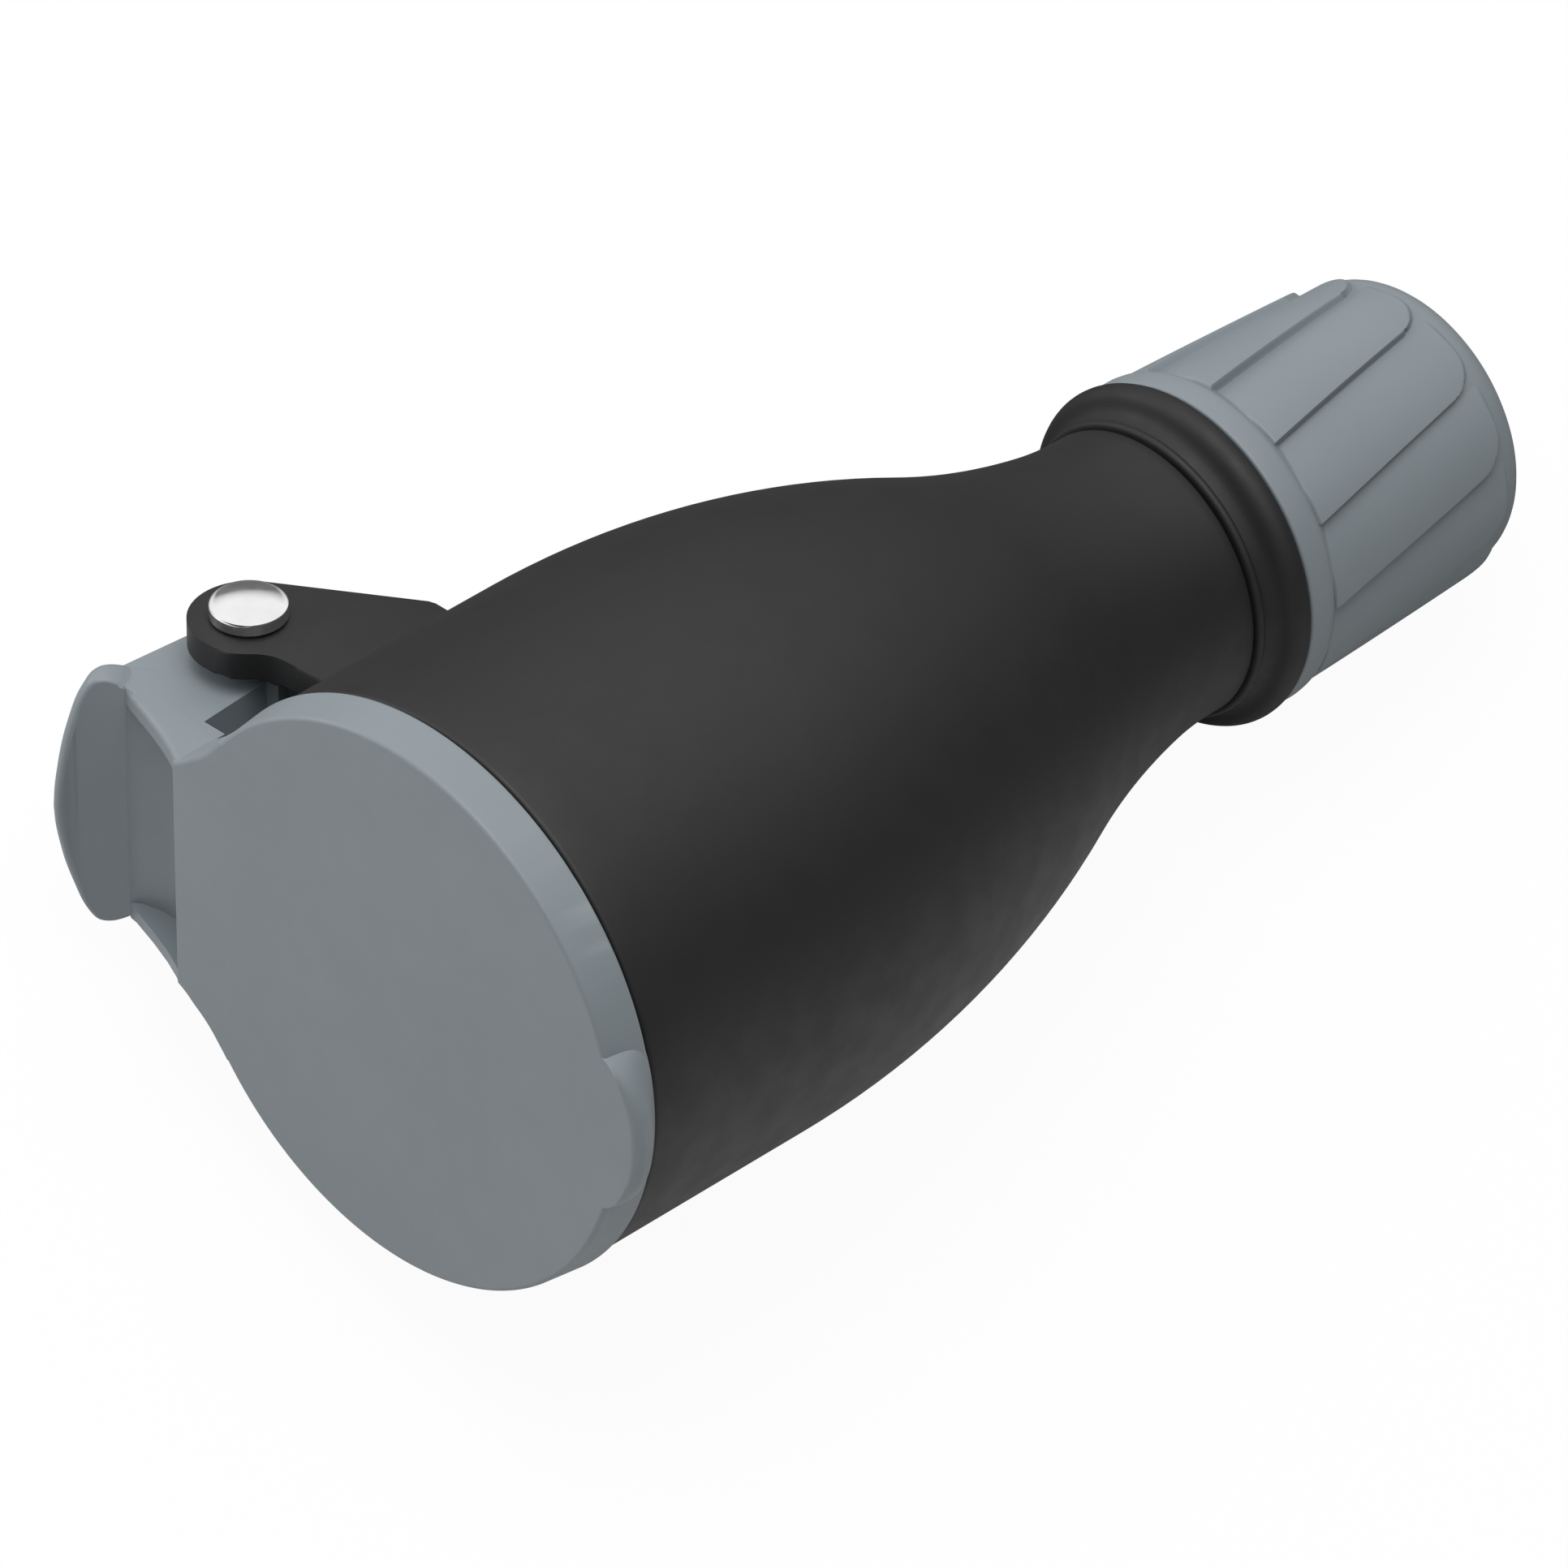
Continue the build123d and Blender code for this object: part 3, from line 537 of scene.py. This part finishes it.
def block_body():
    """Side walls and body; their front edges round over towards both ends."""
    front = [(block_root, 0.03), (-26.3, 0.05), (pocket_front, 0.3), (-28.05, 0.75), (-30.2, 1.7),
             (-33.2, 2.8), (-36.4, 3.8), (-37.6, 4.3)]
    back = [(block_outer - 0.75, pocket_depth + 0.9), (block_outer, pin[1]), (block_inner, pin[1]),
            (block_inner, lid_depth), (block_root, lid_depth)]
    stations = sorted((block_half - depth, inset) for inset, depth in lip_steps(lip, lip_count))
    rows = []
    for z, inset in [(-z, inset) for z, inset in stations[::-1]] + stations:
        rows.append([(x, y + max(0.0, min(inset, lid_depth - y - 0.3)), z) for x, y in front]
                    + [(x, y, z) for x, y in back])
    return closed_rows(rows)


# Paddle
# The inner face is a curve from the valley outwards and forwards, and the plate thins towards its tip.
# The outline is the plate laid flat: length along the curve from the valley, and half width.
paddle_curve = [(2.6, 2.2), (0.0, 0.0), (-1.5, -1.25), (-2.75, -2.6), (-3.65, -3.9), (-4.02, -5.0),
                (-4.12, -5.9)]
paddle_start = -3.4
paddle_outline = [(7.0, 0.0), (6.85, 2.0), (6.5, 4.2), (6.05, 6.4), (5.5, 8.6), (4.95, 10.5), (4.35, 11.8),
                  (3.75, 12.65), (3.0, 13.0), (2.2, 13.0), (1.4, 12.75), (0.7, 12.4), (0.0, 12.2),
                  (-1.5, 12.1), (paddle_start, 12.1)]
paddle_edge = [(0.42, 0.0), (0.26, 0.035), (0.12, 0.11), (0.03, 0.24), (0.0, 0.4), (0.0, 0.6), (0.03, 0.76),
               (0.12, 0.89), (0.26, 0.965), (0.42, 1.0)]
thick_at = (-3.4, 0.0, 1.3, 2.9, 4.1, 7.0)
thickness = (3.5, 3.5, 3.1, 2.45, 1.6, 0.95)
bend_reach = 0.3
cut_step = 0.25
curve_points = smooth_curve(paddle_curve, 60)
curve_lengths = [paddle_start]
for first, second in zip(curve_points, curve_points[1:]):
    curve_lengths.append(curve_lengths[-1] + hypot(second[0] - first[0], second[1] - first[1]))


def on_curve(s):
    """A point of the paddle's curve at a length from the valley."""
    return (np.interp(s, curve_lengths, [point[0] for point in curve_points]),
            np.interp(s, curve_lengths, [point[1] for point in curve_points]))


def along_paddle(s, rise):
    """A point of the paddle at a length from the valley; rise goes from its inner to its outer face."""
    x, y = on_curve(s)
    ahead = on_curve(s + bend_reach)
    behind = on_curve(s - bend_reach)
    run = hypot(ahead[0] - behind[0], ahead[1] - behind[1])
    outward = ((ahead[1] - behind[1]) / run, (behind[0] - ahead[0]) / run)
    thick = np.interp(s, thick_at, thickness)
    return x + valley[0] + outward[0] * rise * thick, y + valley[1] + outward[1] * rise * thick


def paddle_plate():
    """The plate with rounded edges, made flat, cut into strips and then bent along its curve."""
    bm = bmesh.new()
    half = smooth_curve(paddle_outline, 48)
    loop = half + [(s, -z) for s, z in half[:0:-1]]
    rows = []
    for inset, rise in paddle_edge:
        row = []
        for index, (s, z) in enumerate(loop):
            before, after = loop[index - 1], loop[(index + 1) % len(loop)]
            run = hypot(after[0] - before[0], after[1] - before[1])
            row.append((s - inset * (after[1] - before[1]) / run, rise,
                        z + inset * (after[0] - before[0]) / run))
        rows.append(row)
    closed_skin(bm, rows)
    for step in range(40):
        cut = paddle_start + 0.2 + step * cut_step
        bmesh.ops.bisect_plane(bm, geom=bm.verts[:] + bm.edges[:] + bm.faces[:], plane_co=(cut, 0, 0),
                               plane_no=(1, 0, 0))
    for vert in bm.verts:
        s, rise, z = vert.co
        x, y = along_paddle(s, rise)
        vert.co = (x, y, z)
    bmesh.ops.triangulate(bm, faces=bm.faces[:])
    return loose(bm)


# Block
# The body takes the knuckle and web, and is cut for the barrel, the pocket, the spring and two notches.
past_back = 23.0
before_front = -3.0
barrel_play = 0.4
spring_half = 5.3
notch_depth = 3.2
pocket_outline = [(valley[0] - 7.8, before_front), (pocket_front, before_front), (pocket_front, pocket_depth),
                  (valley[0] + 2.5, pocket_depth), (valley[0] + 0.2, valley[1] + 0.1),
                  (valley[0] - 0.4, valley[1] - 0.4)]
spring_outline = [(block_outer + 1.3, pocket_depth + 1.8), (-20.0, pocket_depth + 1.8), (-20.0, past_back),
                  (block_outer + 1.3, past_back)]
notch_outline = [(-29.0, pocket_depth + 0.2), (-24.0, pocket_depth + 0.2), (-24.0, past_back),
                 (-28.3, past_back), (-28.3, 13.7), (-29.6, 13.5)]


def lid_block():
    shape = block_body()
    combine(shape, round_solid(knuckle, -block_half, block_half, 64, "Z", pin), "UNION")
    combine(shape, round_solid(barrel_radius + barrel_play, lid_depth + 0.001, 40, 160, "Y"), "DIFFERENCE")
    combine(shape, lid_web(), "UNION")
    combine(shape, prism(pocket_outline, -pocket_half, pocket_half), "DIFFERENCE")
    combine(shape, paddle_plate(), "UNION")
    combine(shape, prism(spring_outline, -spring_half, spring_half), "DIFFERENCE")
    for side in (1, -1):
        low, high = sorted((side * (block_half - notch_depth), side * (block_half + 1)))
        combine(shape, prism(notch_outline, low, high), "DIFFERENCE")
    return shape


# Whole lid
# Disc, block and nose become one solid, with a boss at each ear, a rib for the seal and the rivet's bore.
boss_play = 0.3
seal_gap = 2.8
rib_wall = 1.2
soft_edge = 0.25
soft_angle = 28.0


def build_lid():
    shape = lid_disc()
    extra = lid_block()
    combine(extra, lid_nose(), "UNION")
    combine(extra, round_solid(lid_rim - lid_wall, lid_plate, lid_depth + 2, 160, "Y"), "DIFFERENCE")
    combine(shape, extra, "UNION")
    for side in (1, -1):
        low, high = sorted((side * (block_half - 1), side * (ear_low - boss_play)))
        combine(shape, round_solid(boss, low, high, 48, "Z", pin), "UNION")
    rib = bmesh.new()
    outer = lid_rim - lid_wall - seal_gap
    skin(rib, turned([(outer - rib_wall, lid_plate - 0.5), (outer, lid_plate - 0.5), (outer, lid_depth - 0.6),
                      (outer - rib_wall, lid_depth - 0.6)], 96), close_rows=True)
    combine(shape, loose(rib), "UNION")
    combine(shape, round_solid(rivet_bore, -ear_top - 1, ear_top + 1, 32, "Z", pin), "DIFFERENCE")
    soften = shape.modifiers.new("soften", "BEVEL")
    soften.width = soft_edge
    soften.segments = 3
    soften.limit_method = "ANGLE"
    soften.angle_limit = radians(soft_angle)
    soften.use_clamp_overlap = True
    soften.miter_outer = "MITER_ARC"
    rounded = baked(shape)
    bpy.data.objects.remove(shape)
    bm = bmesh.new()
    bm.from_mesh(rounded)
    finish_piece("lid_skin", bm, "lid", "grey_plastic", ["lid"], sharp=40.0, flat=True)


# Rivet
# A polished head with a straight edge and a low dome, and the closed end below the lower ear.
# The head is undercut, so that a dark line shows between it and the ear.
rivet_edge = 1.5
rivet_dome = 0.5
rivet_head = 3.5
rivet_shank = 1.6
undercut = 0.5
undercut_height = 0.35
dome_share = 0.94
dome_steps = 9
rivet_low = -ear_top - 0.7
rivet_segments = 72


def build_rivet():
    bm = bmesh.new()
    rim = ear_top + rivet_edge
    neck = rivet_head - undercut
    profile = [(0.0, rivet_low - 1.1), (0.9, rivet_low - 1.02), (1.7, rivet_low - 0.72),
               (2.2, rivet_low - 0.36), (2.5, rivet_low), (rivet_shank, rivet_low), (rivet_shank, ear_top),
               (neck, ear_top),
               (neck, ear_top + undercut_height), (rivet_head, ear_top + undercut_height),
               (rivet_head, rim - 0.25), (rivet_head, rim - 0.2), (rivet_head - 0.06, rim - 0.06),
               (rivet_head - 0.2, rim)]
    for step in range(dome_steps + 1):
        share = 1 - step / dome_steps
        profile.append((dome_share * rivet_head * share, rim + rivet_dome * (1 - share ** 2)))
    angles = [2 * pi * index / rivet_segments for index in range(rivet_segments)]
    rings = skin(bm, [[(pin[0] + radius * cos(angle), pin[1] + radius * sin(angle), height)
                       for angle in angles] for radius, height in profile[1:-1]])
    for ring, height in ((rings[0], profile[0][1]), (rings[-1], profile[-1][1])):
        tip = bm.verts.new((pin[0], pin[1], height))
        for index in range(rivet_segments):
            bm.faces.new((ring[index], ring[(index + 1) % rivet_segments], tip))
    finish_piece("rivet_skin", bm, "housing", "polished_steel", ["hinge_rivet"], sharp=38.0)


# Gland body
# The black sleeve in the neck, its bead and rounded collar, and the plain thread part under the nut.
sleeve_inner = 8.2
collar_start = neck_end + 0.15
bead_round = 0.42
thread_radius = 12.4
thread_front = 99.4
gland_end = 110.0
cage_seat = 10.5
cage_front = 106.0


def build_gland_body():
    bm = bmesh.new()
    profile = [(sleeve_inner, 78.6), (10.2, chamber_end), (gland_seat, 78.8), (gland_seat, collar_start),
               (neck_radius + 0.05, collar_start)]
    profile += arc((neck_radius + 0.1, collar_start + bead_round), bead_round, -80, 70, 6)
    hollow = [(0.16, 0.86), (0.35, 1.25), (0.75, 1.75), (1.2, 2.05)]
    hollow = [(neck_radius + out, collar_start + back) for out, back in hollow]
    profile += smooth_curve(hollow, 8)
    profile += smooth_curve([hollow[-1], (neck_radius + 1.95, 94.15), (16.2, 94.6), (16.42, 95.15),
                             (16.38, 95.75), (16.15, 96.2)], 12)[1:]
    profile += [(11.5, 96.2), (11.5, thread_front), (thread_radius, thread_front), (thread_radius, 109.2),
                (11.6, gland_end), (cage_seat, gland_end), (cage_seat, cage_front),
                (sleeve_inner, cage_front)]
    skin(bm, turned(profile, 160), close_rows=True)
    finish_piece("gland_body_skin", bm, "housing", "black_plastic", ["gland_body"], sharp=36.0)


# Gland nut
# Twelve saw-tooth flutes lean back round the nut. Each is low behind one ridge and swells to the next,
# and its high end closes in a rounded corner before the plain rounded end.
flutes = 12
flute_measured = 102.0
flute_twist = 0.65
flute_first = -1.25
flute_from = 99.7
flute_to = 123.2
flute_corner = 3.0
flute_step = 0.035
flute_swell = 1.7
twist_end = 123.5
body_radius = 14.95
body_taper = 0.038
ridge_radius = 15.85
ridge_taper = 0.05
nut_start = 96.5
thread_bore = 12.48
ring_bore = 13.88
flange_radius = 16.1
flange_edge = 0.3
slope_radius = 16.08
slope_fall = 1.25
slope_from = 98.8
slope_to = 101.2
end_round = 2.7
cord_opening = 7.5
cage_bore = 10.0


def ease(value, low, high):
    share = min(1.0, max(0.0, (value - low) / (high - low)))
    return share * share * (3 - 2 * share)


def nut_body(y):
    """Radius of the plain body under the flutes."""
    return body_radius - body_taper * (y - flute_measured)


def flute_height(share, y):
    """Height of a flute at a share of its width, from the low side (0) to its ridge (1)."""
    ridge = ridge_radius - ridge_taper * (y - flute_measured)
    swell = (share - flute_step) / (1 - flute_step)
    if share < flute_step:
        height = 1 - ease(share, 0.0, flute_step)
        reach = 0.0
    else:
        height = 1 - (1 - swell) ** flute_swell
        reach = radians(360 / flutes) * ridge * (1 - share)
    top = flute_to
    if reach < flute_corner:
        top = flute_to - flute_corner + sqrt(flute_corner ** 2 - (flute_corner - reach) ** 2)
    height *= 1 - ease(y, top - 0.25, top + 0.25)
    height *= ease(y, flute_from - 0.2, flute_from + 0.3)
    return max(0.0, ridge - nut_body(y)) * height


def build_nut():
    shares = [0.0, 0.006, 0.012, 0.018, 0.024, 0.03, 0.035, 0.05, 0.08, 0.14, 0.2, 0.28, 0.36, 0.44, 0.52,
              0.58, 0.64, 0.7, 0.75, 0.8, 0.84, 0.88, 0.91, 0.94, 0.96, 0.975, 0.99]
    heights = [99.1 + 0.1 * step for step in range(16)] + [100.8 + 0.4 * step for step in range(4)]
    heights += [102.5 + 1.0 * step for step in range(17)] + [119.5 + 0.125 * step for step in range(33)]
    rows = []

    def add_row(radius_of, y):
        turn = flute_first - flute_twist * (min(y, twist_end) - flute_measured)
        rows.append([ring_point(radius_of(share), y, radians(turn + (index + share) * 360 / flutes))
                     for index in range(flutes) for share in shares])

    flange = [(thread_bore, 99.7), (ring_bore, 99.3), (ring_bore, nut_start), (15.8, nut_start)]
    flange += arc((15.8, 96.8), flange_edge, -60, 0, 3)
    flange += [(flange_radius, 97.6), (flange_radius, 98.6)]
    for radius, y in flange:
        add_row(lambda share: radius, y)
    for y in heights:
        slope = slope_radius - slope_fall * ease(y, slope_from, slope_to) if y < slope_to else 0.0
        add_row(lambda share: max(slope, nut_body(y) + flute_height(share, y)), y)
    ending = arc((nut_body(twist_end) - end_round, nut_end - end_round), end_round, 4, 90, 10)
    ending += [(8.6, nut_end), (8.15, nut_end - 0.1), (7.75, nut_end - 0.4), (cord_opening, nut_end - 0.9),
               (cord_opening, 121.0), (cage_bore, 121.0), (cage_bore, 119.6), (thread_bore, 111.5)]
    for radius, y in ending:
        add_row(lambda share: radius, y)
    bm = bmesh.new()
    skin(bm, rows, close_rows=True)
    finish_piece("gland_nut_skin", bm, "nut", "grey_plastic", ["gland_nut"], sharp=50.0)


build_housing()
build_lid()
build_rivet()
build_gland_body()
build_nut()


# Floor
# To the camera the floor is nearly pure white and keeps a faint shadow of the object.
# Reflections see it as pale paper with a painted shade that darkens it on the side away from the camera. Only
# reflections see that shade.
floor_reach = 3.0
paper_colour = (0.8, 0.8, 0.8)
near_mirrored = (0.75, 0.75, 0.75)
# Painted shade: the dark colour that reflections see on the floor's far side.
far_painted_shade = (0.08, 0.08, 0.08)
fall_from = -0.02
fall_to = 0.03
camera_white = 0.95


def ray_kinds(tree, *kinds):
    """Sockets that are 1 for rays of the named kinds."""
    path = tree.nodes.new("ShaderNodeLightPath")
    return [Sock(tree, path.outputs[kind]) for kind in kinds]


def along_direction(tree, place, direction):
    """How far a place lies along a direction."""
    coords = tree.nodes.new("ShaderNodeTexCoord")
    node = tree.nodes.new("ShaderNodeVectorMath")
    node.operation = "DOT_PRODUCT"
    tree.links.new(coords.outputs[place], node.inputs[0])
    node.inputs[1].default_value = direction
    return Sock(tree, node.outputs["Value"])


grid = bmesh.new()
bmesh.ops.create_grid(grid, x_segments=1, y_segments=1, size=floor_reach)
mesh = bpy.data.meshes.new("floor")
grid.to_mesh(mesh)
grid.free()
floor = bpy.data.objects.new("floor", mesh)
scene.collection.objects.link(floor)
paper = bpy.data.materials.new("floor_look")
paper.use_nodes = True
tree = paper.node_tree
shader = tree.nodes["Principled BSDF"]
shader.inputs["Roughness"].default_value = 0.9
camera_ray, glossy_ray = ray_kinds(tree, "Is Camera Ray", "Is Glossy Ray")
far_side = along - across
far_side.z = 0.0
# Painted shade in reflections: glossy rays see the floor fall off to dark on the far side.
fall = along_direction(tree, "Object", far_side.normalized()).smooth(fall_from, fall_to)
mirrored = fall.blend(near_mirrored, far_painted_shade)
tree.links.new(glossy_ray.blend(paper_colour, mirrored).socket, shader.inputs["Base Color"])
white = tree.nodes.new("ShaderNodeEmission")
white.inputs["Color"].default_value = (1, 1, 1, 1)
white.inputs["Strength"].default_value = 1.0
mix = tree.nodes.new("ShaderNodeMixShader")
tree.links.new((camera_ray * camera_white).socket, mix.inputs[0])
tree.links.new(shader.outputs[0], mix.inputs[1])
tree.links.new(white.outputs[0], mix.inputs[2])
tree.links.new(mix.outputs[0], tree.nodes["Material Output"].inputs["Surface"])
mesh.materials.append(paper)

# World
# The sky brightens from the horizon towards the rivet's side. Camera and transmission rays see it as white.
horizon_light = 0.05
zenith_light = 0.9
sky_low = 0.2
sky_high = 0.6
world = bpy.data.worlds.new("world")
world.use_nodes = True
scene.world = world
tree = world.node_tree
back = tree.nodes["Background"]
back.inputs["Color"].default_value = (1, 1, 1, 1)
camera_ray, through_ray = ray_kinds(tree, "Is Camera Ray", "Is Transmission Ray")
sky = along_direction(tree, "Generated", up).smooth(sky_low, sky_high, horizon_light, zenith_light)
white_share = camera_ray.math("MAXIMUM", through_ray)
tree.links.new((sky + white_share * (sky * -1.0 + 1.0)).socket, back.inputs["Strength"])


# Lamps
# Places are in the upright frame, in mm, so the light falls as in the photograph.
def lamp(name, place, target, size, power):
    data = bpy.data.lights.new(name, "AREA")
    data.shape = "RECTANGLE"
    data.size, data.size_y = size
    data.energy = power
    obj = bpy.data.objects.new(name, data)
    scene.collection.objects.link(obj)
    start = lay @ (Vector(place) * MM)
    end = lay @ (Vector(target) * MM)
    obj.location = start
    obj.rotation_euler = (end - start).to_track_quat("-Z", "Y").to_euler()


middle = (0, 50, 0)
lamp("lamp_top", (150, -100, 690), middle, (0.5, 0.5), 3.2)
lamp("lamp_left", (-640, -270, 220), middle, (0.4, 0.4), 2.4)


# Camera
# A long lens, from the front right and above, fitted to the photograph in the upright frame.
azimuth = radians(45.183)
elevation = radians(35.607)
focal_px = 22000.0
image_px = 1932.0
sensor_mm = 36.0
distance = 1521.9
shift_right = -33.3706
shift_up = -18.9194
view = Vector((-sin(azimuth) * cos(elevation), cos(azimuth) * cos(elevation), -sin(elevation)))
right = Vector((cos(azimuth), sin(azimuth), 0.0))
above = right.cross(view)
eye = -(shift_right * right + shift_up * above + distance * view)
camera_data = bpy.data.cameras.new("camera")
camera_data.sensor_width = sensor_mm
camera_data.lens = sensor_mm * focal_px / image_px
camera_data.clip_end = 50.0
camera = bpy.data.objects.new("camera", camera_data)
scene.collection.objects.link(camera)
pose = Matrix((right, above, -view)).transposed().to_4x4()
camera.matrix_world = lay @ Matrix.Translation(eye * MM) @ pose
scene.camera = camera
scene.view_settings.view_transform = "Standard"
